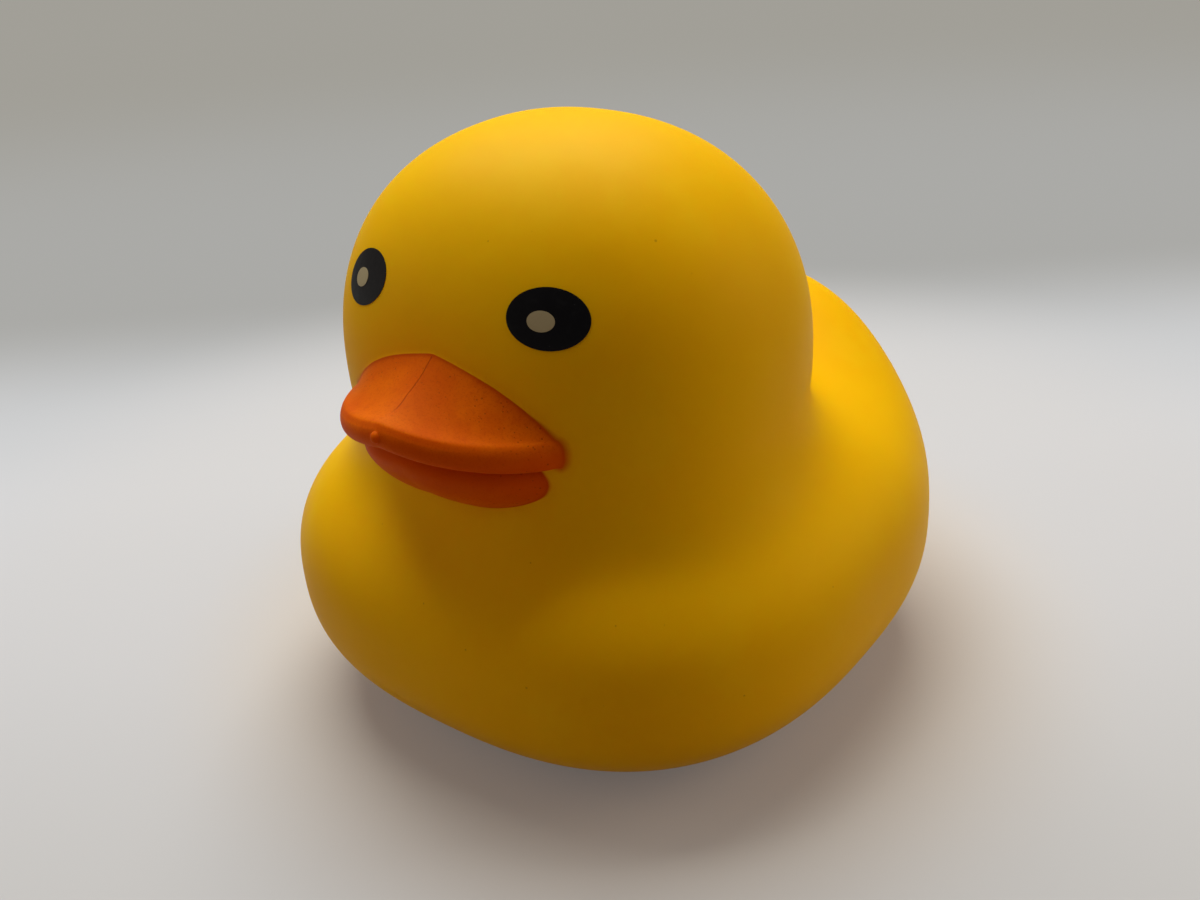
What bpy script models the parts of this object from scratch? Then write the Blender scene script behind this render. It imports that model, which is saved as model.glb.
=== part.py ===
"""A soft foam squeeze toy in the shape of a duck, cast in one piece.

The duck faces -Y and sits on its flat base at z = 0, with the origin under the middle of its
length. A round body, a large round head and an upturned tail run into each other as one skin,
and a broad bill with a parted mouth stands out of the face. Sizes are in metres.
"""
import math

import bmesh
import bpy
from mathutils import Vector

# Body: a rounded shell whose underside is cut flat
BODY_WIDTH = 0.0900
BODY_LENGTH = 0.0916
BODY_HEIGHT = 0.0435
BASE_CUT = 0.0029
BODY_SQUARENESS = 2.54

# Head: sunk into the top of the body and set a little forward
HEAD_WIDTH = 0.0661
HEAD_LENGTH = 0.0584
HEAD_HEIGHT = 0.0641
HEAD_SINK = 0.0229
HEAD_FORWARD = 0.0071
HEAD_SQUARENESS = 2.24
NECK_BLEND = 0.0073

# Tail: a broad ellipsoid that tips up out of the rump
TAIL_LENGTH = 0.0302
TAIL_WIDTH = 0.0376
TAIL_THICKNESS = 0.0194
TAIL_TILT_ANGLE = math.radians(42.3)
TAIL_RISE = 0.0144
TAIL_INSET = 0.0089
TAIL_BLEND = 0.0147

# Upper bill: hollowed between its root in the face and its rounded lip
BILL_WIDTH = 0.0374
BILL_REACH = 0.0118
BILL_ROUNDNESS = 1.87
CORNER_TUCK = 0.0056
ROOT_RISE = 0.0112
ROOT_DROP = 0.0063
ROOT_SQUARENESS = 3.7
HOLLOW = 1.7
LIP_THICKNESS = 0.0038
LIP_DEPTH = 0.0016
LIP_FALL = 0.0045
LIP_BEND = 1.2

# Mouth and lower bill, tucked under the lip
MOUTH_GAP = 0.0008
MOUTH_DEPTH = 0.0035
LOWER_WIDTH = 0.0340
LOWER_SETBACK = 0.0032
LOWER_LIP = 0.0022
CHIN_DEPTH = 0.0094
CHIN_SQUARENESS = 1.9
CHIN_FULLNESS = 1.45

# How far the bill's root and chin lie under the face, and what share of their height is left
# where they end at the corners
FACE_TUCK = 0.0015
CORNER_SHARE = 0.1

# Eyes: oval fields of thick ink on the face, each with a small pale pupil
EYE_TURN_ANGLE = math.radians(32.3)
EYE_LIFT_ANGLE = math.radians(28.9)
EYE_WIDTH = 0.0104
EYE_HEIGHT = 0.0075
PUPIL_WIDTH = 0.0036
PUPIL_HEIGHT = 0.0027
PUPIL_INWARD = 0.0006
PUPIL_DOWN = 0.0002
INK_THICKNESS = 0.0001
INK_ROOT = 0.0006

# Fineness of the skin, the bill and the eyes; the bill's last sections lie within the face
SKIN_CUTS = 17
CAST_STEPS = 44
BILL_SECTIONS = 28
BILL_SPAN_ANGLE = math.radians(80)
TOP_STEPS = 6
LIP_STEPS = 6
EYE_SIDES = 32
EYE_RINGS = 3

SKIN_YELLOW = (0.80, 0.45, 0.01, 1.0)
BILL_ORANGE = (0.68, 0.13, 0.004, 1.0)
SKIN_ROUGHNESS = 0.42
BILL_ROUGHNESS = 0.48
EYE_BLACK = (0.010, 0.010, 0.013, 1.0)
PUPIL_WHITE = (0.60, 0.56, 0.46, 1.0)
INK_ROUGHNESS = 0.30

# Places that follow from the sizes above
shell_height = BODY_HEIGHT + BASE_CUT
body_semi = Vector((BODY_WIDTH, BODY_LENGTH, shell_height)) / 2
body_centre = Vector((0.0, 0.0, BODY_HEIGHT - body_semi.z))
head_semi = Vector((HEAD_WIDTH, HEAD_LENGTH, HEAD_HEIGHT)) / 2
head_centre = Vector((0.0, -HEAD_FORWARD, BODY_HEIGHT - HEAD_SINK + head_semi.z))
tail_semi = Vector((TAIL_WIDTH, TAIL_LENGTH, TAIL_THICKNESS)) / 2
tail_centre = Vector((0.0, body_semi.y - TAIL_INSET, body_centre.z + TAIL_RISE))
root_z = head_centre.z + ROOT_RISE
lip_z = root_z - ROOT_DROP

# The skin is cast outwards from a point where the head and the body overlap
heart = Vector((0.0, head_centre.y / 2, BODY_HEIGHT - HEAD_SINK / 2))
cast_reach = BODY_WIDTH + BODY_LENGTH + HEAD_HEIGHT


def clear_scene():
    for obj in list(bpy.data.objects):
        bpy.data.objects.remove(obj, do_unlink=True)


def finish_material(name, colour, roughness):
    """A plain satin finish in one colour."""
    mat = bpy.data.materials.new(name)
    mat.use_nodes = True
    shader = mat.node_tree.nodes["Principled BSDF"]
    shader.inputs["Base Color"].default_value = colour
    shader.inputs["Roughness"].default_value = roughness
    shader.inputs["Metallic"].default_value = 0.0
    return mat


def add_object(name, bm, materials):
    mesh = bpy.data.meshes.new(name)
    bm.to_mesh(mesh)
    bm.free()
    mesh.shade_smooth()
    for mat in materials:
        mesh.materials.append(mat)
    obj = bpy.data.objects.new(name, mesh)
    bpy.context.collection.objects.link(obj)
    return obj


def shell_distance(offset, semi, power):
    """Rough distance to a squared ellipsoid: below zero inside it, above zero outside."""
    total = sum(abs(offset[axis] / semi[axis]) ** power for axis in range(3))
    return (total ** (1 / power) - 1) * min(semi)


def blend(first, second, reach):
    """The smaller of two distances, rounded over where they are nearly equal."""
    share = min(max(0.5 + 0.5 * (second - first) / reach, 0.0), 1.0)
    return second * (1 - share) + first * share - reach * share * (1 - share)


def skin_distance(point):
    """Distance to the whole skin, with head, body and tail run together."""
    head = shell_distance(point - head_centre, head_semi, HEAD_SQUARENESS)
    body = shell_distance(point - body_centre, body_semi, BODY_SQUARENESS)
    offset = point - tail_centre
    along = offset.y * math.cos(TAIL_TILT_ANGLE) + offset.z * math.sin(TAIL_TILT_ANGLE)
    across = offset.z * math.cos(TAIL_TILT_ANGLE) - offset.y * math.sin(TAIL_TILT_ANGLE)
    tail = shell_distance(Vector((offset.x, along, across)), tail_semi, 2)
    return blend(blend(head, body, NECK_BLEND), tail, TAIL_BLEND)


def cast_to_skin(start, direction):
    """The point of the skin that lies in this direction from a start inside it."""
    near = 0.0
    far = cast_reach
    for _ in range(CAST_STEPS):
        middle = (near + far) / 2
        if skin_distance(start + direction * middle) < 0:
            near = middle
        else:
            far = middle
    return start + direction * near


def skin_outward(point):
    """The direction in which the skin faces at this point of it."""
    step = BODY_WIDTH / 1e4
    axes = (Vector((step, 0, 0)), Vector((0, step, 0)), Vector((0, 0, step)))
    slopes = [skin_distance(point + axis) - skin_distance(point - axis) for axis in axes]
    return Vector(slopes).normalized()


def make_skin(materials):
    """Head, body and tail as one closed skin, cut flat at the base."""
    bm = bmesh.new()
    bmesh.ops.create_cube(bm, size=2.0)
    bmesh.ops.subdivide_edges(bm, edges=bm.edges[:], cuts=SKIN_CUTS, use_grid_fill=True)
    for vert in bm.verts:
        spread = Vector([math.tan(value * math.pi / 4) for value in vert.co])
        vert.co = cast_to_skin(heart, spread.normalized())
    everything = bm.verts[:] + bm.edges[:] + bm.faces[:]
    cut = bmesh.ops.bisect_plane(bm, geom=everything, plane_co=(0, 0, 0), plane_no=(0, 0, 1),
                                 clear_inner=True)
    rim = [item for item in cut["geom_cut"] if isinstance(item, bmesh.types.BMEdge)]
    bmesh.ops.contextual_create(bm, geom=rim)
    bmesh.ops.recalc_face_normals(bm, faces=bm.faces[:])
    return add_object("duck_body", bm, materials)


def face_y(x, z):
    """The y of the head's front at this width and height."""
    across = (abs(x) / head_semi.x) ** HEAD_SQUARENESS
    upward = (abs(z - head_centre.z) / head_semi.z) ** HEAD_SQUARENESS
    return head_centre.y - head_semi.y * max(1 - across - upward, 0.0) ** (1 / HEAD_SQUARENESS)


# The lip's edge runs round from the tip to two corners sunk in the face
tip_y = face_y(0, root_z) - BILL_REACH
corner_y = face_y(BILL_WIDTH / 2, lip_z - LIP_FALL) + CORNER_TUCK


def rounded_edge(x, width, front_y):
    """The y of a curved edge that bulges forward from the corner line to front_y."""
    share = max(1 - (abs(x) * 2 / width) ** BILL_ROUNDNESS, 0.0) ** (1 / BILL_ROUNDNESS)
    return corner_y + (front_y - corner_y) * share


def falling(x, width, power):
    """One at the middle of the bill, the corner share at its corners."""
    share = max(1 - (abs(x) * 2 / width) ** power, 0.0)
    return CORNER_SHARE + (1 - CORNER_SHARE) * share


def bill_section(x):
    """Outline of the bill in the upright plane at x, from its root round to the chin."""
    ridge_y = rounded_edge(x, BILL_WIDTH, tip_y) + LIP_DEPTH
    ridge_z = lip_z - LIP_FALL * (abs(x) * 2 / BILL_WIDTH) ** LIP_BEND
    rise = ROOT_DROP * falling(x, BILL_WIDTH, ROOT_SQUARENESS)
    top_y = max(face_y(x, ridge_z + rise) + FACE_TUCK, ridge_y + LIP_DEPTH)
    outline = [(head_centre.y, ridge_z + rise)]
    for step in range(TOP_STEPS):
        share = 1 - step / TOP_STEPS
        outline.append((ridge_y + (top_y - ridge_y) * share, ridge_z + rise * share ** HOLLOW))

    middle_z = ridge_z - LIP_THICKNESS / 2
    for step in range(LIP_STEPS + 1):
        turn = math.pi * step / LIP_STEPS
        outline.append((ridge_y - LIP_DEPTH * math.sin(turn),
                        middle_z + LIP_THICKNESS / 2 * math.cos(turn)))

    mouth_z = ridge_z - LIP_THICKNESS
    outline.append((ridge_y + MOUTH_DEPTH, mouth_z - MOUTH_GAP / 2))
    lower_z = mouth_z - MOUTH_GAP - LOWER_LIP
    lower_y = rounded_edge(x, LOWER_WIDTH, tip_y + LOWER_SETBACK) + LOWER_LIP
    for step in range(LIP_STEPS + 1):
        turn = math.pi / 2 * step / LIP_STEPS
        outline.append((lower_y - LOWER_LIP * math.sin(turn), lower_z + LOWER_LIP * math.cos(turn)))

    chin_z = lower_z - CHIN_DEPTH * falling(x, LOWER_WIDTH, CHIN_SQUARENESS)
    chin_y = max(face_y(x, chin_z) + FACE_TUCK, lower_y)
    for step in range(1, LIP_STEPS + 1):
        turn = math.pi / 2 * step / LIP_STEPS
        forward = max(math.cos(turn), 0.0) ** (2 / CHIN_FULLNESS)
        downward = math.sin(turn) ** (2 / CHIN_FULLNESS)
        outline.append((chin_y + (lower_y - LOWER_LIP - chin_y) * forward,
                        lower_z + (chin_z - lower_z) * downward))
    outline.append((head_centre.y, chin_z))
    return [(x, y, z) for y, z in outline]


def make_bill(materials):
    """The upper and lower bill, lofted from upright sections across its width."""
    bm = bmesh.new()
    rings = []
    for index in range(BILL_SECTIONS + 1):
        turn = BILL_SPAN_ANGLE * (2 * index / BILL_SECTIONS - 1)
        x = math.copysign(abs(math.sin(turn)) ** (2 / BILL_ROUNDNESS), turn) * BILL_WIDTH / 2
        rings.append([bm.verts.new(place) for place in bill_section(x)])
    for left, right in zip(rings, rings[1:]):
        for index in range(len(left)):
            after = (index + 1) % len(left)
            bm.faces.new((left[index], left[after], right[after], right[index]))
    bm.faces.new(rings[0])
    bm.faces.new(reversed(rings[-1]))
    bmesh.ops.recalc_face_normals(bm, faces=bm.faces[:])
    for face in bm.faces:
        face.material_index = 1
    return add_object("bill_form", bm, materials)


def add_ink_field(bm, side, width, height, inward, down, thickness):
    """One oval of ink that follows the face, rooted a little under the skin."""
    look = Vector((side * math.sin(EYE_TURN_ANGLE) * math.cos(EYE_LIFT_ANGLE),
                   -math.cos(EYE_TURN_ANGLE) * math.cos(EYE_LIFT_ANGLE), math.sin(EYE_LIFT_ANGLE)))
    middle = cast_to_skin(head_centre, look)
    outward = skin_outward(middle)
    level = Vector((0, 0, 1)).cross(outward).normalized() * side
    upward = outward.cross(level) * side
    middle = middle - level * inward - upward * down
    top = []
    root = []
    for ring in range(EYE_RINGS + 1):
        share = ring / EYE_RINGS
        sides = EYE_SIDES if ring else 1
        for index in range(sides):
            turn = 2 * math.pi * index / EYE_SIDES
            flat = (middle + level * (math.cos(turn) * share * width / 2)
                    + upward * (math.sin(turn) * share * height / 2))
            place = cast_to_skin(flat - outward * head_semi.y / 2, outward)
            top.append(bm.verts.new(place + outward * thickness))
            root.append(bm.verts.new(place - outward * INK_ROOT))
    for layer in (top, root):
        for index in range(EYE_SIDES):
            after = (index + 1) % EYE_SIDES
            bm.faces.new((layer[0], layer[1 + index], layer[1 + after]))
            for ring in range(EYE_RINGS - 1):
                inner = 1 + ring * EYE_SIDES
                outer = inner + EYE_SIDES
                bm.faces.new((layer[inner + index], layer[outer + index],
                              layer[outer + after], layer[inner + after]))
    rim = 1 + (EYE_RINGS - 1) * EYE_SIDES
    for index in range(EYE_SIDES):
        after = (index + 1) % EYE_SIDES
        bm.faces.new((top[rim + index], top[rim + after], root[rim + after], root[rim + index]))


def make_ink(name, materials, slot, *field):
    """The same field of ink on both sides of the face."""
    bm = bmesh.new()
    for side in (-1, 1):
        add_ink_field(bm, side, *field)
    bmesh.ops.recalc_face_normals(bm, faces=bm.faces[:])
    for face in bm.faces:
        face.material_index = slot
    return add_object(name, bm, materials)


def centre_on_length(skin, bill, inks):
    """Move all forms so that the tail and the bill reach equally far from the origin."""
    tail_y = max(vert.co.y for vert in skin.data.vertices)
    bill_y = min(vert.co.y for vert in bill.data.vertices)
    for obj in (skin, bill, *inks):
        for vert in obj.data.vertices:
            vert.co.y -= (tail_y + bill_y) / 2


def unite(skin, form):
    """Join a form to the skin; the form itself stays as a hidden guide."""
    union = skin.modifiers.new(form.name, "BOOLEAN")
    union.operation = "UNION"
    union.solver = "EXACT"
    union.object = form
    form.hide_render = True
    form.display_type = "WIRE"


def main():
    clear_scene()
    materials = [finish_material("skin_yellow", SKIN_YELLOW, SKIN_ROUGHNESS),
                 finish_material("bill_orange", BILL_ORANGE, BILL_ROUGHNESS),
                 finish_material("eye_black", EYE_BLACK, INK_ROUGHNESS),
                 finish_material("pupil_white", PUPIL_WHITE, INK_ROUGHNESS)]
    skin = make_skin(materials)
    bill = make_bill(materials)
    eyes = make_ink("eye_form", materials, 2, EYE_WIDTH, EYE_HEIGHT, 0.0, 0.0, INK_THICKNESS)
    pupils = make_ink("pupil_form", materials, 3, PUPIL_WIDTH, PUPIL_HEIGHT, PUPIL_INWARD,
                      PUPIL_DOWN, INK_THICKNESS * 2)
    centre_on_length(skin, bill, (eyes, pupils))
    for form in (bill, eyes, pupils):
        unite(skin, form)


main()
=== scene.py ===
import math

import bpy
import numpy as np
from mathutils import Matrix, Vector
from mathutils.kdtree import KDTree


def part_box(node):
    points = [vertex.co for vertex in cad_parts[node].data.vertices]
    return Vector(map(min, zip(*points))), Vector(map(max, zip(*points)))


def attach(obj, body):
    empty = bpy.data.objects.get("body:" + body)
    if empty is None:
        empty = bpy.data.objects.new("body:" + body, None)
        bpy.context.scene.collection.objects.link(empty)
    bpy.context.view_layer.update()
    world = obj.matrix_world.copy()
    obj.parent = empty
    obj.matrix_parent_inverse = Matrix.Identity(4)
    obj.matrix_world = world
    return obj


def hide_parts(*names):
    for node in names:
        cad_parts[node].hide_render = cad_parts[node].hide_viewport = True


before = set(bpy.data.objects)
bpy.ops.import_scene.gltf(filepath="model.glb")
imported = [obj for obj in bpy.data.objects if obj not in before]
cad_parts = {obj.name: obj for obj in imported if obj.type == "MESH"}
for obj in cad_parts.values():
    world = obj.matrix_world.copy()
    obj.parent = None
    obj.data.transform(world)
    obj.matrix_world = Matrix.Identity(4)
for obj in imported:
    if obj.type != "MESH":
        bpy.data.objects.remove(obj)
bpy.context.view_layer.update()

# Camera
# It stands to the duck's left, a little above it, and leans over slightly as a hand-held one does.
camera_azimuth = math.radians(38.055)
camera_elevation = math.radians(28.445)
camera_roll = math.radians(-3.894)
camera_distance = 0.2009
camera_lens = 39.0
camera_sensor = 36.0
camera_near = 0.005
looked_at = Vector((-0.0027, -0.0024, 0.0312))

camera = bpy.data.objects.new("camera", bpy.data.cameras.new("camera"))
backward = Vector((math.sin(camera_azimuth) * math.cos(camera_elevation),
                   -math.cos(camera_azimuth) * math.cos(camera_elevation),
                   math.sin(camera_elevation)))
level = Vector((math.cos(camera_azimuth), math.sin(camera_azimuth), 0))
upright = backward.cross(level)
across = level * math.cos(camera_roll) + upright * math.sin(camera_roll)
upward = upright * math.cos(camera_roll) - level * math.sin(camera_roll)
camera.matrix_world = (Matrix.Translation(looked_at + backward * camera_distance)
                       @ Matrix((across, upward, backward)).transposed().to_4x4())
camera.data.lens = camera_lens
camera.data.sensor_width = camera_sensor
camera.data.clip_start = camera_near
bpy.context.collection.objects.link(camera)
bpy.context.scene.camera = camera


# Foam casting: head, body and tail
# Soft polyurethane foam, poured into a closed mould where it rises and forms its own skin.
# Three rounded forms run into each other, and the underside is flat.
body_size = (0.0900, 0.0916, 0.0464)
body_top = 0.0435
body_squareness = 2.54
head_size = (0.0661, 0.0584, 0.0641)
head_forward = 0.0071
head_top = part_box("duck_body")[1].z
head_squareness = 2.24
neck_blend = 0.0073
tail_size = (0.0376, 0.0302, 0.0194)
tail_tilt = math.radians(42.3)
tail_place = (0.0369, 0.0347)
tail_blend = 0.0147
length_shift = -0.00245
heart_height = 0.032
past_skin = 0.15
halvings = 26
skin_cuts = 104
cut_tolerance = 1e-7

body_semi = np.array(body_size) / 2
body_centre = np.array((0, length_shift, body_top - body_semi[2]))
head_semi = np.array(head_size) / 2
head_centre = np.array((0, length_shift - head_forward, head_top - head_semi[2]))
tail_semi = np.array(tail_size) / 2
tail_centre = np.array((0, length_shift + tail_place[0], tail_place[1]))

# The skin is found along rays from the heart, a point in the middle of the casting.
heart = np.array((0, length_shift - head_forward / 2, heart_height))


def shell_distance(offsets, semi, squareness):
    """Rough distance from a squared ellipsoid, below zero inside it."""
    total = (np.abs(offsets / semi) ** squareness).sum(-1)
    return (total ** (1 / squareness) - 1) * semi.min()


def run_together(first, second, reach):
    """The smaller distance, rounded over where the two are nearly equal."""
    share = np.clip(0.5 + 0.5 * (second - first) / reach, 0, 1)
    return second * (1 - share) + first * share - reach * share * (1 - share)


def skin_distance(points):
    """Distance from the casting's skin, apart from its bill."""
    head = shell_distance(points - head_centre, head_semi, head_squareness)
    body = shell_distance(points - body_centre, body_semi, body_squareness)
    away = points - tail_centre
    along = away[..., 1] * math.cos(tail_tilt) + away[..., 2] * math.sin(tail_tilt)
    over = away[..., 2] * math.cos(tail_tilt) - away[..., 1] * math.sin(tail_tilt)
    tail = shell_distance(np.stack([away[..., 0], along, over], -1), tail_semi, 2)
    return run_together(run_together(head, body, neck_blend), tail, tail_blend)


def out_to_skin(start, directions):
    """Where rays from a point or points inside the casting meet its skin."""
    near = np.zeros(directions.shape[:-1] + (1,))
    far = np.full_like(near, past_skin)
    for _ in range(halvings):
        middle = (near + far) / 2
        inside = skin_distance(start + directions * middle)[..., None] < 0
        near = np.where(inside, middle, near)
        far = np.where(inside, far, middle)
    return start + directions * near


def points_of(mesh):
    """The places of a mesh's points, one row each."""
    places = np.empty(len(mesh.vertices) * 3, np.float32)
    mesh.vertices.foreach_get("co", places)
    return places.reshape(-1, 3).astype(float)


def move_points(mesh, places):
    """Puts a mesh's points at these places."""
    mesh.vertices.foreach_set("co", np.asarray(places, np.float32).ravel())
    mesh.update()


def choose(piece, kind, chosen):
    """Opens a piece in edit mode with only these of its vertices, edges or faces selected."""
    bpy.ops.object.mode_set(mode="EDIT")
    bpy.ops.mesh.select_mode(type=kind)
    bpy.ops.mesh.select_all(action="DESELECT")
    bpy.ops.object.mode_set(mode="OBJECT")
    parts = {"VERT": piece.data.vertices, "EDGE": piece.data.edges, "FACE": piece.data.polygons}
    parts[kind].foreach_set("select", chosen)
    bpy.ops.object.mode_set(mode="EDIT")


bpy.ops.object.select_all(action="DESELECT")
bpy.ops.mesh.primitive_cube_add(size=head_size[0], location=heart)
duck = bpy.context.object
duck.name = "duck"
bpy.ops.object.mode_set(mode="EDIT")
bpy.ops.mesh.subdivide(number_cuts=skin_cuts)
bpy.ops.transform.tosphere(value=1)
bpy.ops.object.mode_set(mode="OBJECT")
outward = points_of(duck.data)
outward /= np.linalg.norm(outward, axis=1, keepdims=True)
move_points(duck.data, out_to_skin(heart, outward) - heart)
bpy.ops.object.transform_apply(location=True)

# The face is cut finer where the bill joins it, and laid on the same skin again.
patch_half_width = 0.0235
patch_half_height = 0.0155
patch_middle = 0.0520
face_cuts = 2
centres = np.empty(len(duck.data.polygons) * 3, np.float32)
duck.data.polygons.foreach_get("center", centres)
centres = centres.reshape(-1, 3)
near_bill = ((np.abs(centres[:, 0]) < patch_half_width) & (centres[:, 1] < head_centre[1])
             & (np.abs(centres[:, 2] - patch_middle) < patch_half_height))
choose(duck, "FACE", near_bill)
bpy.ops.mesh.subdivide(number_cuts=face_cuts)
bpy.ops.object.mode_set(mode="OBJECT")
outward = points_of(duck.data) - heart
outward /= np.linalg.norm(outward, axis=1, keepdims=True)
move_points(duck.data, out_to_skin(heart, outward))

# The underside is cut flat.
bpy.ops.object.mode_set(mode="EDIT")
bpy.ops.mesh.select_all(action="SELECT")
bpy.ops.mesh.bisect(plane_co=(0, 0, 0), plane_no=(0, 0, 1), use_fill=True, clear_inner=True,
                    threshold=cut_tolerance)
bpy.ops.object.mode_set(mode="OBJECT")


# Bill
# Cast in one with the head: a wide upper bill, hollowed towards its lip, and a smaller lower
# bill that is parted from it by the crease of the mouth.
bill_width = 0.0374
bill_reach = 0.0118
bill_roundness = 1.87
corner_tuck = 0.0056
root_rise = 0.0112
root_drop = 0.0063
root_squareness = 3.7
hollow = 1.7
lip_thickness = 0.0038
lip_depth = 0.0016
lip_fall = 0.0045
lip_bend = 1.2
mouth_gap = 0.0008
mouth_depth = 0.0035
lower_width = 0.0340
lower_setback = 0.0032
lower_lip = 0.0022
chin_depth = 0.0094
chin_fullness = 1.45
chin_squareness = 1.9
corner_share = 0.1
face_tuck = 0.0015
top_points = 20
lip_points = 18
mouth_shares = (0.3, 0.65, 1.0)
lower_points = 12
chin_points = 14
bill_rings = 90
bill_span = math.radians(80)


def face_y(x, z):
    """The y of the head's front at this width and height."""
    inner = (1 - (abs(x) / head_semi[0]) ** head_squareness
             - (abs(z - head_centre[2]) / head_semi[2]) ** head_squareness)
    return head_centre[1] - head_semi[1] * max(inner, 0.0) ** (1 / head_squareness)


root_z = head_centre[2] + root_rise
lip_z = root_z - root_drop
tip_y = face_y(0, root_z) - bill_reach
corner_y = face_y(bill_width / 2, lip_z - lip_fall) + corner_tuck


def edge_y(x, width, front_y):
    """The y of a curved edge that bulges from the corners forward to front_y."""
    share = max(1 - (abs(x) * 2 / width) ** bill_roundness, 0.0) ** (1 / bill_roundness)
    return corner_y + (front_y - corner_y) * share


def falling(x, width, squareness):
    """One at the bill's middle, the corner share at its corners."""
    share = max(1 - (abs(x) * 2 / width) ** squareness, 0.0)
    return corner_share + (1 - corner_share) * share


def bill_outline(x):
    """The bill's outline (y, z) in the upright plane at x, from root to chin."""
    ridge_y = edge_y(x, bill_width, tip_y) + lip_depth
    ridge_z = lip_z - lip_fall * (abs(x) * 2 / bill_width) ** lip_bend
    rise = root_drop * falling(x, bill_width, root_squareness)
    top_y = max(face_y(x, ridge_z + rise) + face_tuck, ridge_y + lip_depth)
    outline = [(head_centre[1], ridge_z + rise)]
    for share in np.linspace(1, 0, top_points, endpoint=False):
        outline.append((ridge_y + (top_y - ridge_y) * share, ridge_z + rise * share ** hollow))
    for turn in np.linspace(0, math.pi, lip_points):
        outline.append((ridge_y - lip_depth * math.sin(turn),
                        ridge_z + lip_thickness / 2 * (math.cos(turn) - 1)))
    mouth_z = ridge_z - lip_thickness
    outline += [(ridge_y + mouth_depth * share, mouth_z - mouth_gap / 2 * share ** 2)
                for share in mouth_shares]
    lower_z = mouth_z - mouth_gap - lower_lip
    lower_y = edge_y(x, lower_width, tip_y + lower_setback) + lower_lip
    for turn in np.linspace(0, math.pi / 2, lower_points):
        outline.append((lower_y - lower_lip * math.sin(turn), lower_z + lower_lip * math.cos(turn)))
    chin_z = lower_z - chin_depth * falling(x, lower_width, chin_squareness)
    chin_y = max(face_y(x, chin_z) + face_tuck, lower_y)
    for turn in np.linspace(0, math.pi / 2, chin_points)[1:]:
        forward = max(math.cos(turn), 0.0) ** (2 / chin_fullness)
        downward = math.sin(turn) ** (2 / chin_fullness)
        outline.append((chin_y + (lower_y - lower_lip - chin_y) * forward,
                        lower_z + (chin_z - lower_z) * downward))
    outline.append((head_centre[1], chin_z))
    return outline


# A tube is run from corner to corner, and each of its rings becomes the outline at its place.
outline_points = len(bill_outline(0))
bpy.ops.object.select_all(action="DESELECT")
bpy.ops.mesh.primitive_cylinder_add(vertices=outline_points, radius=lip_thickness, depth=bill_width,
                                    end_fill_type="NGON", rotation=(0, math.pi / 2, 0))
bill = bpy.context.object
bpy.ops.object.transform_apply(rotation=True)
ends = points_of(bill.data)[[list(edge.vertices) for edge in bill.data.edges]]
choose(bill, "EDGE", np.abs(ends[:, 0, 0] - ends[:, 1, 0]) > bill_width / 2)
bpy.ops.mesh.subdivide(number_cuts=bill_rings - 1)
bpy.ops.object.mode_set(mode="OBJECT")
places = points_of(bill.data)
ring = np.rint((places[:, 0] / bill_width + 0.5) * bill_rings)
spoke = np.rint(np.arctan2(places[:, 2], places[:, 1]) / (2 * math.pi) * outline_points)
for number in range(bill_rings + 1):
    turn = bill_span * (2 * number / bill_rings - 1)
    x = math.copysign(abs(math.sin(turn)) ** (2 / bill_roundness), turn) * bill_width / 2
    outline = np.array(bill_outline(x))
    chosen = ring == number
    places[chosen, 0] = x
    places[chosen, 1:] = outline[spoke[chosen].astype(int) % outline_points]
move_points(bill.data, places)
bpy.ops.object.mode_set(mode="EDIT")
bpy.ops.mesh.select_all(action="SELECT")
bpy.ops.mesh.normals_make_consistent(inside=False)
bpy.ops.object.mode_set(mode="OBJECT")

# A small round nub on the middle of the lip, where the mould's vent was cut off.
nub_width = 0.0014
nub_place = (0.0001, tip_y + 0.0002, lip_z - 0.0017)
nub_stretch = (1, 1.1, 1.1)
nub_segments = 24
nub_rings = 12
bpy.ops.object.select_all(action="DESELECT")
bpy.ops.mesh.primitive_uv_sphere_add(segments=nub_segments, ring_count=nub_rings,
                                     radius=nub_width / 2, location=nub_place)
nub = bpy.context.object
bpy.ops.object.mode_set(mode="EDIT")
bpy.ops.transform.resize(value=nub_stretch)
bpy.ops.object.mode_set(mode="OBJECT")
bpy.ops.object.transform_apply(location=True)


def merge(whole, part):
    """Joins a closed part to a closed whole as one closed skin, and removes the part."""
    union = whole.modifiers.new("union", "BOOLEAN")
    union.operation = "UNION"
    union.solver = "EXACT"
    union.object = part
    bpy.context.view_layer.objects.active = whole
    bpy.ops.object.modifier_apply(modifier=union.name)
    bpy.data.objects.remove(part)


# Two materials tell the faces of the head from those of the bill until both are one skin.
merge(bill, nub)
for name in ("skin", "paint"):
    duck.data.materials.append(bpy.data.materials.new(name))
bill.data.materials.append(duck.data.materials["skin"])
bill.data.materials.append(duck.data.materials["paint"])
for face in bill.data.polygons:
    face.material_index = 1
merge(duck, bill)

# The rim where bill and face meet is rounded out into a small hollow fillet.
fillet_reach = 0.0013
fillet_softness = 0.00036
turned_away = -0.3
sliver = 0.00002
rim_spacing = 0.00005
rim_search = 0.01


def points_along(starts, ends):
    """Points at close, even steps along short straight edges."""
    steps = max(2, int(np.linalg.norm(ends - starts, axis=1).max() / rim_spacing))
    shares = np.linspace(0, 1, steps)[None, :, None]
    return (starts[:, None] * (1 - shares) + ends[:, None] * shares).reshape(-1, 3)


def distance_to(places, line, reach):
    """Each place's distance from the nearest point of a line, at most reach."""
    tree = KDTree(len(line))
    for number, point in enumerate(line):
        tree.insert(point, number)
    tree.balance()
    found = np.full(len(places), reach)
    near = ((places > line.min(0) - reach) & (places < line.max(0) + reach)).all(1)
    for number in np.flatnonzero(near):
        found[number] = min(tree.find(places[number])[2], reach)
    return found


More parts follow.
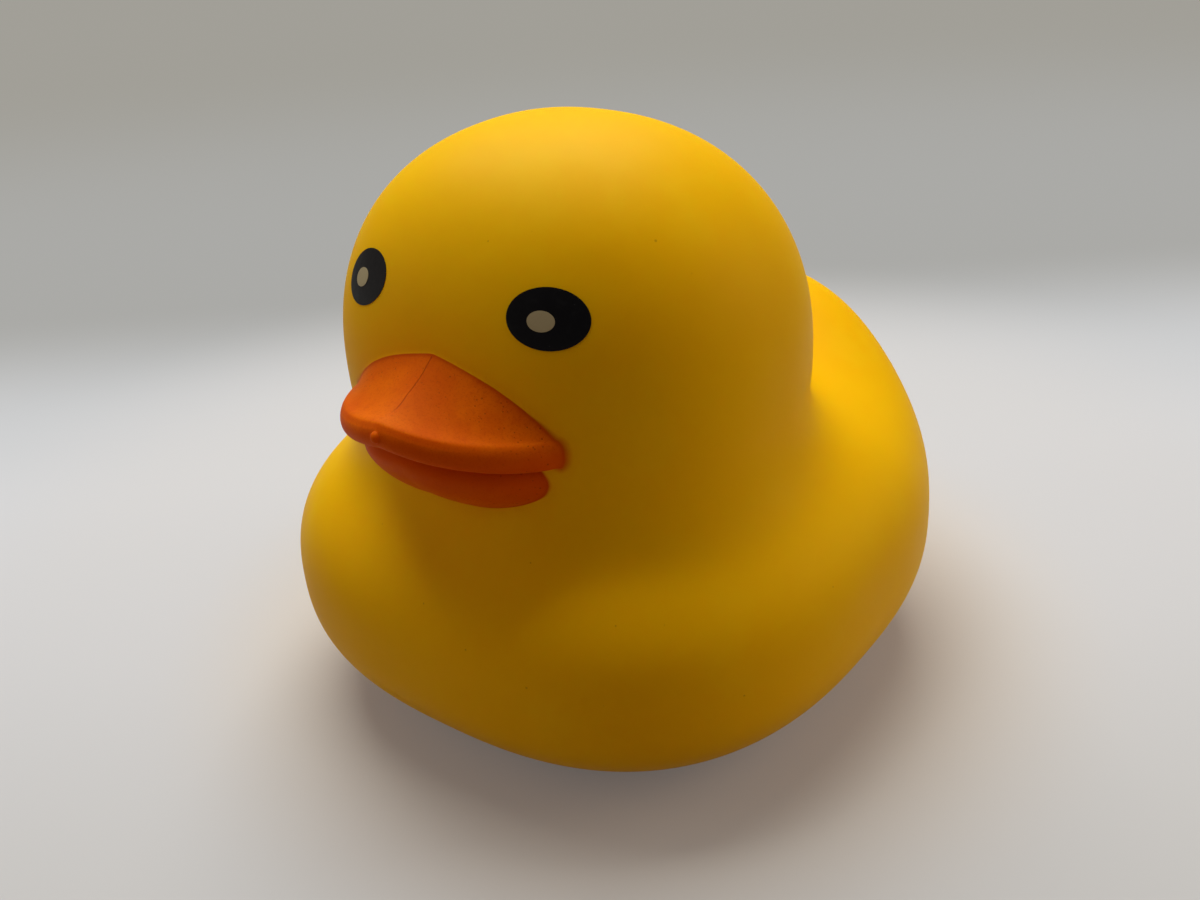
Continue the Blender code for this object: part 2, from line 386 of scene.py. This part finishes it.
def rim_and_bill(mesh):
    """Points along the edges between bill and head, and which of the points are the bill's."""
    sides = np.zeros((len(mesh.vertices), 2), bool)
    for face in mesh.polygons:
        sides[list(face.vertices), face.material_index] = True
    both = sides.all(1)
    ends = np.array([edge.vertices for edge in mesh.edges])
    ends = ends[both[ends].all(1)]
    places = points_of(mesh)
    return points_along(places[ends[:, 0]], places[ends[:, 1]]), sides[:, 1]


bpy.ops.object.select_all(action="DESELECT")
duck.select_set(True)
bpy.context.view_layer.objects.active = duck
rim, of_bill = rim_and_bill(duck.data)
choose(duck, "VERT", distance_to(points_of(duck.data), rim, rim_search) < fillet_reach)
bpy.ops.mesh.remove_doubles(threshold=sliver)
bpy.ops.object.mode_set(mode="OBJECT")

# How far each point is from the rim, in millimetres: above zero on the bill, below on the skin.
# A second measure is how far it is from the crease of the mouth.
paint_reach = 0.02
mouth_steps = 400
mouth_point = top_points + lip_points + len(mouth_shares)
rim, of_bill = rim_and_bill(duck.data)
places = points_of(duck.data)
from_rim = distance_to(places, rim, paint_reach)
painted = duck.data.attributes.new("paint", "FLOAT", "POINT")
painted.data.foreach_set("value", 1000 * np.where(of_bill, from_rim, -from_rim))
mouth_line = np.array([(x, *bill_outline(x)[mouth_point])
                       for x in np.linspace(-bill_width / 2, bill_width / 2, mouth_steps)])
opening = duck.data.attributes.new("mouth", "FLOAT", "POINT")
opening.data.foreach_set("value", 1000 * distance_to(places, mouth_line, paint_reach))

# Each point near the rim moves to the middle of what lies round it, but for what faces away.
facing = np.empty(len(places) * 3, np.float32)
duck.data.vertices.foreach_get("normal", facing)
facing = facing.reshape(-1, 3)
room_round = np.zeros(len(places))
for face in duck.data.polygons:
    room_round[list(face.vertices)] += face.area / len(face.vertices)
cloud_of_points = KDTree(len(places))
for number, point in enumerate(places):
    cloud_of_points.insert(point, number)
cloud_of_points.balance()
rounded = places.copy()
for number in np.flatnonzero(from_rim < fillet_reach):
    nearby = cloud_of_points.find_range(places[number], fillet_softness * 3)
    others = np.array([found[1] for found in nearby])
    gaps = np.array([found[2] for found in nearby])
    weights = room_round[others] * np.exp(-(gaps / fillet_softness) ** 2 / 2)
    weights = weights * (facing[others] @ facing[number] > turned_away)
    if weights.sum() > 0:
        share = 1 - from_rim[number] / fillet_reach
        softened = (places[others] * weights[:, None]).sum(0) / weights.sum()
        share = share * share * (3 - 2 * share)
        rounded[number] = places[number] * (1 - share) + softened * share
move_points(duck.data, rounded)
duck.data.shade_smooth()
for face in duck.data.polygons:
    face.material_index = 0
duck.data.materials.clear()


# Skin and paint
# The foam is dyed yellow right through. The bill is masked and sprayed orange; the orange is redder
# and darker along its root, and the paint thins out in a soft edge at the corners.
skin_yellow = (0.95, 0.522, 0.001, 1)
skin_deep = (0.92, 0.475, 0.0005, 1)
skin_pale = (0.96, 0.56, 0.004, 1)
pit_brown = (0.55, 0.24, 0.002, 1)
paint_orange = (0.70, 0.112, 0.0003, 1)
paint_light = (0.78, 0.147, 0.0005, 1)
paint_red = (0.50, 0.040, 0.0005, 1)
# Painted shade: a redder orange for the lip's front and round the mouth, and a dark red deep in its
# crease.
lip_shade_orange = (0.70, 0.082, 0.0004, 1)
mouth_shade_red = (0.30, 0.022, 0.0005, 1)
seam_brown = (0.28, 0.025, 0.001, 1)
cloud_size = 0.030
pale_size = 0.012
ripple_size = 0.0045
grain_size = 0.0004
pit_spacing = 0.0042
pit_radius = 0.00016
pit_share = 0.45
casting = bpy.data.materials.new("foam_and_paint")
casting.use_nodes = True
tree = casting.node_tree


def node(kind, inputs=None, **settings):
    """A new shader node of this tree; an input is a value or another node's output."""
    made = tree.nodes.new("ShaderNode" + kind)
    for setting, value in settings.items():
        setattr(made, setting, value)
    for place, value in (inputs or {}).items():
        if isinstance(value, bpy.types.NodeSocket):
            tree.links.new(value, made.inputs[place])
        else:
            made.inputs[place].default_value = value
    return made


def maths(operation, *values):
    """The result of one sum on values or other nodes' outputs."""
    return node("Math", dict(enumerate(values)), operation=operation).outputs[0]


def step(value, low, high):
    """Zero below low and one above high, with a smooth rise; the other way where low is above."""
    if isinstance(low, (int, float)) and isinstance(high, (int, float)) and low > high:
        return maths("SUBTRACT", 1, step(value, high, low))
    return node("MapRange", {"Value": value, "From Min": low, "From Max": high},
                interpolation_type="SMOOTHSTEP").outputs[0]


def mix(share, first, second):
    """The first colour, with this share of the second in it."""
    return node("Mix", {0: share, 6: first, 7: second}, data_type="RGBA").outputs[2]


def noise(size, detail=2, roughness=0.5):
    """Cloudy variation with blobs of this size in metres, from 0 to 1."""
    return node("TexNoise", {"Vector": place_on_duck, "Scale": 1 / size, "Detail": detail,
                             "Roughness": roughness}).outputs["Fac"]


def dots(spacing, radius, share):
    """Round dots of this radius, one in each cell of this spacing, kept in a share of cells."""
    cells = node("TexVoronoi", {"Vector": place_on_duck, "Scale": 1 / spacing,
                                "Randomness": 1.0}, feature="F1")
    kept = node("SeparateColor", {"Color": cells.outputs["Color"]})
    width = maths("MULTIPLY", kept.outputs["Green"], radius / spacing)
    past_edge = maths("SUBTRACT", cells.outputs["Distance"], width)
    round_dot = step(past_edge, 0.35 * radius / spacing, 0.0)
    return maths("MULTIPLY", round_dot, maths("LESS_THAN", kept.outputs["Red"], share))


place_on_duck = node("TexCoord").outputs["Object"]
axes = node("SeparateXYZ", {"Vector": place_on_duck})
sideways = maths("ABSOLUTE", axes.outputs["X"])
paint = node("Attribute", attribute_name="paint").outputs["Fac"]

# Yellow skin
cloud = noise(cloud_size, 3)
ripple = noise(ripple_size, 3)
grain = noise(grain_size, 2)
pits = dots(pit_spacing, pit_radius, pit_share)
yellow = mix(maths("MULTIPLY", step(cloud, 0.40, 0.72), 0.7), skin_yellow, skin_deep)
yellow = mix(maths("MULTIPLY", step(noise(pale_size, 4), 0.52, 0.75), 0.55), yellow, skin_pale)
yellow = mix(maths("MULTIPLY", pits, 0.55), yellow, pit_brown)

# Sprayed edge, wider at the bill's corners, with a thin mist outside it. How soft it is and how
# far it reaches are in millimetres, as the distance from the rim is.
corner_start = 0.0130
edge_softness = 0.12
corner_softness = 0.75
corner_stray = 0.55
mist_reach = 2.2
at_corner = step(sideways, corner_start, bill_width / 2)
edge_width = maths("MULTIPLY_ADD", at_corner, corner_softness, edge_softness)
strayed = maths("MULTIPLY_ADD", at_corner, corner_stray, paint)
strayed = maths("ADD", strayed, maths("MULTIPLY", maths("SUBTRACT", noise(0.0030, 2), 0.5),
                                      maths("MULTIPLY", edge_width, 0.8)))
cover = step(strayed, maths("MULTIPLY", edge_width, -1), edge_width)
mist = maths("MULTIPLY", step(strayed, -mist_reach, 0.0), maths("MULTIPLY", noise(0.0005, 2), 0.16))
cover = maths("MAXIMUM", cover, mist)

# Orange paint, a little cloudy, with fine red specks, and redder along the root
blotch_size = 0.007
fleck_size = 0.0011
speckle_size = 0.00028
root_reach = 0.70
pinhole_spacing = 0.00050
pinhole_radius = 0.00012
pinhole_share = 0.52
orange = mix(step(noise(blotch_size, 4), 0.38, 0.68), paint_orange, paint_light)
orange = mix(maths("MULTIPLY", step(noise(fleck_size, 3), 0.45, 0.75), 0.14), orange, paint_red)
speckle = noise(speckle_size, 2, 0.7)
orange = mix(maths("MULTIPLY", step(speckle, 0.48, 0.70), 0.32), orange, paint_red)
# The orange is made redder and darker within a short reach of the root.
thick = maths("MULTIPLY", step(paint, root_reach, 0.0), 0.60)
orange = mix(thick, orange, paint_red)

# Painted shade: the lip's front, facing down and away from the light, is redder, and a faint dark
# line of painted shade over a shallow groove runs along its upper edge, where the top turns down.
# The measure is the depth below that edge in millimetres.
mouth = node("Attribute", attribute_name="mouth").outputs["Fac"]
fall = maths("POWER", maths("MULTIPLY", sideways, 2 / bill_width), lip_bend)
ridge = maths("MULTIPLY_ADD", fall, lip_fall, axes.outputs["Z"])
below = maths("MULTIPLY", maths("SUBTRACT", lip_z, ridge), 1000)
lip_front_shade = maths("MULTIPLY", step(below, 0.5, 1.8), step(mouth, 7.5, 5.0))
orange = mix(maths("MULTIPLY", lip_front_shade, 0.45), orange, lip_shade_orange)
# Painted shade: a faint dark line along the lip's upper edge, with a shallow groove in the relief
# below.
lip_edge_groove_and_shade = maths("MULTIPLY", step(below, 0.10, 0.35), step(below, 0.85, 0.45))
lip_edge_groove_and_shade = maths("MULTIPLY", lip_edge_groove_and_shade, maths("MULTIPLY", step(sideways, 0.014, 0.005), cover))
orange = mix(maths("MULTIPLY", lip_edge_groove_and_shade, 0.40), orange, paint_red)

# Painted shade in and round the crease of the mouth, redder and darker towards it, and pinholes
orange = mix(maths("MULTIPLY", step(mouth, 5.2, 2.6), 0.55), orange, lip_shade_orange)
orange = mix(maths("MULTIPLY", step(mouth, 1.6, 0.1), 0.80), orange, mouth_shade_red)
pinholes = maths("MULTIPLY", dots(pinhole_spacing, pinhole_radius, pinhole_share),
                 step(paint, 9.0, 1.0))
orange = mix(maths("MULTIPLY", pinholes, 0.50), orange, seam_brown)

# The mould's parting line, along the middle of the bill's top
line_half_width = 0.00013
line_core = 0.00002
line_wobble = 0.0005
line_start = tip_y + 0.0024
line_full = tip_y + 0.0052
wobble = maths("MULTIPLY", maths("SUBTRACT", noise(0.0035, 2), 0.5), line_wobble)
off_line = maths("ABSOLUTE", maths("ADD", axes.outputs["X"], wobble))
line = step(off_line, line_half_width, line_core)
line = maths("MULTIPLY", line, step(axes.outputs["Y"], line_start, line_full))
line = maths("MULTIPLY", line, maths("MULTIPLY", step(paint, 0.1, 0.5),
                                     step(axes.outputs["Z"], lip_z - 0.001, lip_z)))
orange = mix(maths("MULTIPLY", line, 0.55), orange, seam_brown)

# Height of the surface in millimetres
ripple_height = 0.030
swell_height = 0.16
grain_height = 0.0035
pit_depth = 0.030
dust_height = 0.012
line_depth = 0.060
crease_depth = 0.045
paint_height = 0.020
relief = maths("MULTIPLY", ripple, ripple_height)
relief = maths("MULTIPLY_ADD", noise(0.016, 2), swell_height, relief)
relief = maths("MULTIPLY_ADD", grain, grain_height, relief)
relief = maths("MULTIPLY_ADD", pits, -pit_depth, relief)
relief = maths("MULTIPLY_ADD", maths("MULTIPLY", pinholes, cover), -pit_depth, relief)
relief = maths("MULTIPLY_ADD", maths("MULTIPLY", noise(0.0003, 2), cover), dust_height, relief)
relief = maths("MULTIPLY_ADD", line, -line_depth, relief)
relief = maths("MULTIPLY_ADD", lip_edge_groove_and_shade, -crease_depth, relief)
relief = maths("MULTIPLY_ADD", cover, paint_height, relief)

# Satin foam that lets a little light in
gloss = tree.nodes["Principled BSDF"]
tree.links.new(mix(cover, yellow, orange), gloss.inputs["Base Color"])
rough = maths("MULTIPLY_ADD", noise(0.009, 3), 0.14, 0.43)
rough = maths("MULTIPLY_ADD", cover, 0.06, rough)
tree.links.new(rough, gloss.inputs["Roughness"])
tree.links.new(node("Bump", {"Height": relief, "Distance": 0.001, "Strength": 1.0}).outputs[0],
               gloss.inputs["Normal"])
gloss.inputs["IOR"].default_value = 1.36
gloss.inputs["Specular IOR Level"].default_value = 0.09
gloss.inputs["Specular Tint"].default_value = (1.0, 0.70, 0.22, 1)
gloss.inputs["Subsurface Weight"].default_value = 0.30
gloss.inputs["Subsurface Radius"].default_value = (1.0, 0.5, 0.08)
gloss.inputs["Subsurface Scale"].default_value = 0.003
duck.data.materials.append(casting)

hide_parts("duck_body")
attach(duck, "root")


# Eyes
# Flat ovals of black ink, pad-printed on the cast face, each with a small pale pupil printed
# over it. The ink is a thin satin film that follows the skin. The print sits loosely: the right
# oval leans in more than the left one, and the pupils lie a little off the ovals' middles.
eye_size = (0.0104, 0.0075)
pupil_size = (0.00348, 0.00253)
eye_turn = math.radians(32.3)
eye_lift = math.radians(28.9)
eye_lean = {"left": math.radians(-3), "right": math.radians(-17)}
pupil_shift = 0.0008
pupil_down = 0.0003
ink_thickness = 0.00006
pupil_layers = 1.6
print_clearance = 0.00001
film_edge_angle = math.radians(40)
slope_step = 0.0001
eye_edges = 96
eye_rings = 7


def print_oval(name, middle, facing, lean, size, height):
    """A thin oval film laid on the casting, square to facing at its middle, and leaning."""
    bpy.ops.object.select_all(action="DESELECT")
    bpy.ops.mesh.primitive_circle_add(vertices=eye_edges, radius=0.5, fill_type="NGON")
    film = bpy.context.object
    film.name = name
    bpy.ops.object.mode_set(mode="EDIT")
    for ring in range(eye_rings):
        bpy.ops.mesh.inset(thickness=0.5 / (eye_rings + 1), depth=0)
    bpy.ops.mesh.poke()
    bpy.ops.mesh.select_all(action="SELECT")
    bpy.ops.transform.resize(value=(size[0], size[1], 1))
    bpy.ops.object.mode_set(mode="OBJECT")
    outward = Vector(facing).normalized()
    level = Vector((0, 0, 1)).cross(outward).normalized()
    turned = Matrix((level, outward.cross(level), outward)).transposed().to_4x4()
    turned = turned @ Matrix.Rotation(lean, 4, "Z")
    film.matrix_world = Matrix.Translation(Vector(middle) + outward * size[0]) @ turned
    laid = film.modifiers.new("laid", "SHRINKWRAP")
    laid.target = duck
    laid.wrap_method = "PROJECT"
    laid.use_project_z = True
    laid.use_negative_direction = True
    laid.use_positive_direction = False
    laid.offset = print_clearance
    bpy.ops.object.modifier_apply(modifier=laid.name)
    thick = film.modifiers.new("thick", "SOLIDIFY")
    thick.thickness = height
    thick.offset = 1
    bpy.ops.object.modifier_apply(modifier=thick.name)
    bpy.ops.object.transform_apply(location=True, rotation=True, scale=True)
    bpy.ops.object.shade_smooth_by_angle(angle=film_edge_angle)
    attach(film, "root")
    return film


# Satin printing ink: a fine uneven film with a few specks of lint
ink_black = (0.0015, 0.0020, 0.0035, 1)
lint_grey = (0.030, 0.034, 0.036, 1)
ink_pale = (0.41, 0.36, 0.21, 1)
lint_dull = (0.33, 0.28, 0.15, 1)
lint_spacing = 0.0006
lint_radius = 0.00007
lint_share = 0.35
inks = {}
for name, colour, lint, roughness in (("black_ink", ink_black, lint_grey, 0.40),
                                      ("white_ink", ink_pale, lint_dull, 0.45)):
    inks[name] = bpy.data.materials.new(name)
    inks[name].use_nodes = True
    tree = inks[name].node_tree
    place_on_duck = node("TexCoord").outputs["Object"]
    gloss = tree.nodes["Principled BSDF"]
    gloss.inputs["Specular IOR Level"].default_value = 0.14
    shade = mix(maths("MULTIPLY", step(noise(0.0012, 4), 0.5, 0.8), 0.10), colour, lint)
    specks = dots(lint_spacing, lint_radius, lint_share)
    shade = mix(maths("MULTIPLY", specks, 0.6), shade, lint)
    tree.links.new(shade, gloss.inputs["Base Color"])
    tree.links.new(maths("MULTIPLY_ADD", noise(0.0009, 3), 0.16, roughness),
                   gloss.inputs["Roughness"])
    relief = maths("MULTIPLY", noise(0.0007, 3), 0.012)
    tree.links.new(node("Bump", {"Height": relief, "Distance": 0.001}).outputs[0],
                   gloss.inputs["Normal"])

for name, side in (("left", 1), ("right", -1)):
    look = np.array((side * math.sin(eye_turn) * math.cos(eye_lift),
                     -math.cos(eye_turn) * math.cos(eye_lift), math.sin(eye_lift)))
    middle = out_to_skin(head_centre, look[None])[0]
    slopes = [skin_distance(middle + slope_step * axis) - skin_distance(middle - slope_step * axis)
              for axis in np.eye(3)]
    outward = Vector(slopes).normalized()
    level = Vector((0, 0, 1)).cross(outward).normalized()
    upright = outward.cross(level)
    lean = eye_lean[name] * side
    eye = print_oval("eye_" + name, middle, outward, lean, eye_size, ink_thickness)
    eye.data.materials.append(inks["black_ink"])
    centre = Vector(middle) - level * pupil_shift - upright * pupil_down
    pupil = print_oval("pupil_" + name, centre, outward, lean, pupil_size,
                       ink_thickness * pupil_layers)
    pupil.data.materials.append(inks["white_ink"])


# Floor
# A wide plain table top that runs back into a slightly greyer sweep. Its pale tones are what is
# seen of it; the light that it throws back at the duck is that of a dull warm board. Close to the
# duck its tone is warmed with painted bounce light, as light off yellow foam would warm it, and
# there it keeps most of its shadow.
floor_size = 4.0
painted_bounce_band = (0.080, 0.045)
far_band = (0.30, 0.60)
near_glow = 0.14
middle_glow = 0.24
middle_band = (0.045, 0.090)
far_glow = 0.62
far_glow_band = (0.10, 0.17)
table_front = (0.575, 0.575, 0.565, 1)
table_pale = (0.640, 0.645, 0.650, 1)
painted_bounce_warm = (0.66, 0.60, 0.51, 1)
table_bounce = (0.34, 0.268, 0.225, 1)
sweep_pale = (0.675, 0.680, 0.690, 1)
sweep_low = (0.620, 0.625, 0.630, 1)
sweep_grey = (0.405, 0.402, 0.385, 1)
sweep_top = (0.360, 0.347, 0.312, 1)
bpy.ops.object.select_all(action="DESELECT")
bpy.ops.mesh.primitive_plane_add(size=floor_size)
floor = bpy.context.object
floor.name = "floor"
table_top = bpy.data.materials.new("table_top")
table_top.use_nodes = True
tree = table_top.node_tree
place_on_duck = node("TexCoord").outputs["Object"]
reach = node("VectorMath", {0: place_on_duck}, operation="LENGTH").outputs["Value"]
behind = node("VectorMath", {0: place_on_duck, 1: (-math.sin(camera_azimuth),
                                                   math.cos(camera_azimuth), 0)},
              operation="DOT_PRODUCT").outputs["Value"]
rays = node("LightPath")
seen = maths("MAXIMUM", maths("MAXIMUM", rays.outputs["Is Camera Ray"],
                              rays.outputs["Is Glossy Ray"]),
             rays.outputs["Is Transmission Ray"])
board = tree.nodes["Principled BSDF"]
near_tone = mix(step(behind, -0.075, 0.0), table_front, table_pale)
# Painted bounce light: near the duck the table's tone is warmed, standing in for yellow light off
# the foam.
near_tone = mix(step(reach, *painted_bounce_band), near_tone, painted_bounce_warm)
tree.links.new(mix(seen, table_bounce, near_tone), board.inputs["Base Color"])
tree.links.new(maths("MULTIPLY_ADD", noise(0.02, 3), 0.1, 0.6), board.inputs["Roughness"])
board.inputs["Specular IOR Level"].default_value = 0.2

# The sweep's tones, each with how far behind the duck it comes in and is full
sweep = table_front
for start, full, tone in ((-0.08, 0.02, sweep_pale), (0.045, 0.090, sweep_low),
                          (0.080, 0.155, sweep_grey), (0.20, 0.50, sweep_top)):
    sweep = mix(step(behind, start, full), sweep, tone)
sweep = mix(step(reach, *far_band), sweep, sweep_top)
backdrop = node("Emission", {"Color": sweep, "Strength": 1.0})
# Painted light: close to the duck a small share of glow shows over the table and lightens its
# shadow; further off the glow takes over as the sweep.
glow_share = maths("MULTIPLY_ADD", step(reach, *middle_band), middle_glow, near_glow)
glow_share = maths("MULTIPLY_ADD", step(reach, *far_glow_band), far_glow, glow_share)
glow_share = maths("MULTIPLY", seen, glow_share)
both = node("MixShader", {0: glow_share, 1: board.outputs[0], 2: backdrop.outputs[0]})
tree.links.new(both.outputs[0], tree.nodes["Material Output"].inputs["Surface"])
floor.data.materials.append(table_top)


# Lamps and room
# One large soft lamp stands above and behind the duck's right. Two weak, warm ones stand at the
# right and left of the view, for the light that the room's walls throw back.
lamp_aim = Vector((0, 0, 0.04))


def soft_lamp(name, place, watts, size, colour):
    """A square lamp at this place, turned to the duck."""
    lamp = bpy.data.objects.new(name, bpy.data.lights.new(name, "AREA"))
    lamp.data.energy = watts
    lamp.data.size = size
    lamp.data.color = colour
    lamp.location = place
    lamp.rotation_euler = (lamp_aim - Vector(place)).to_track_quat("-Z", "Y").to_euler()
    bpy.context.collection.objects.link(lamp)


soft_lamp("overhead", (-0.19, 0.18, 0.54), 3.85, 0.52, (1.0, 1.0, 0.98))
soft_lamp("right", (0.46, 0.34, 0.26), 0.95, 0.40, (1.0, 0.90, 0.80))
soft_lamp("left", (-0.46, -0.32, 0.26), 0.34, 0.40, (1.0, 0.90, 0.80))

# The camera sees the sweep's top tone past the floor. All else gets the room's dim warm light.
room_light = (0.162, 0.127, 0.108, 1)
room = bpy.data.worlds.new("room")
room.use_nodes = True
tree = room.node_tree
rays = node("LightPath")
tree.links.new(mix(rays.outputs["Is Camera Ray"], room_light, sweep_top),
               tree.nodes["Background"].inputs["Color"])
bpy.context.scene.world = room
bpy.context.scene.view_settings.view_transform = "Standard"
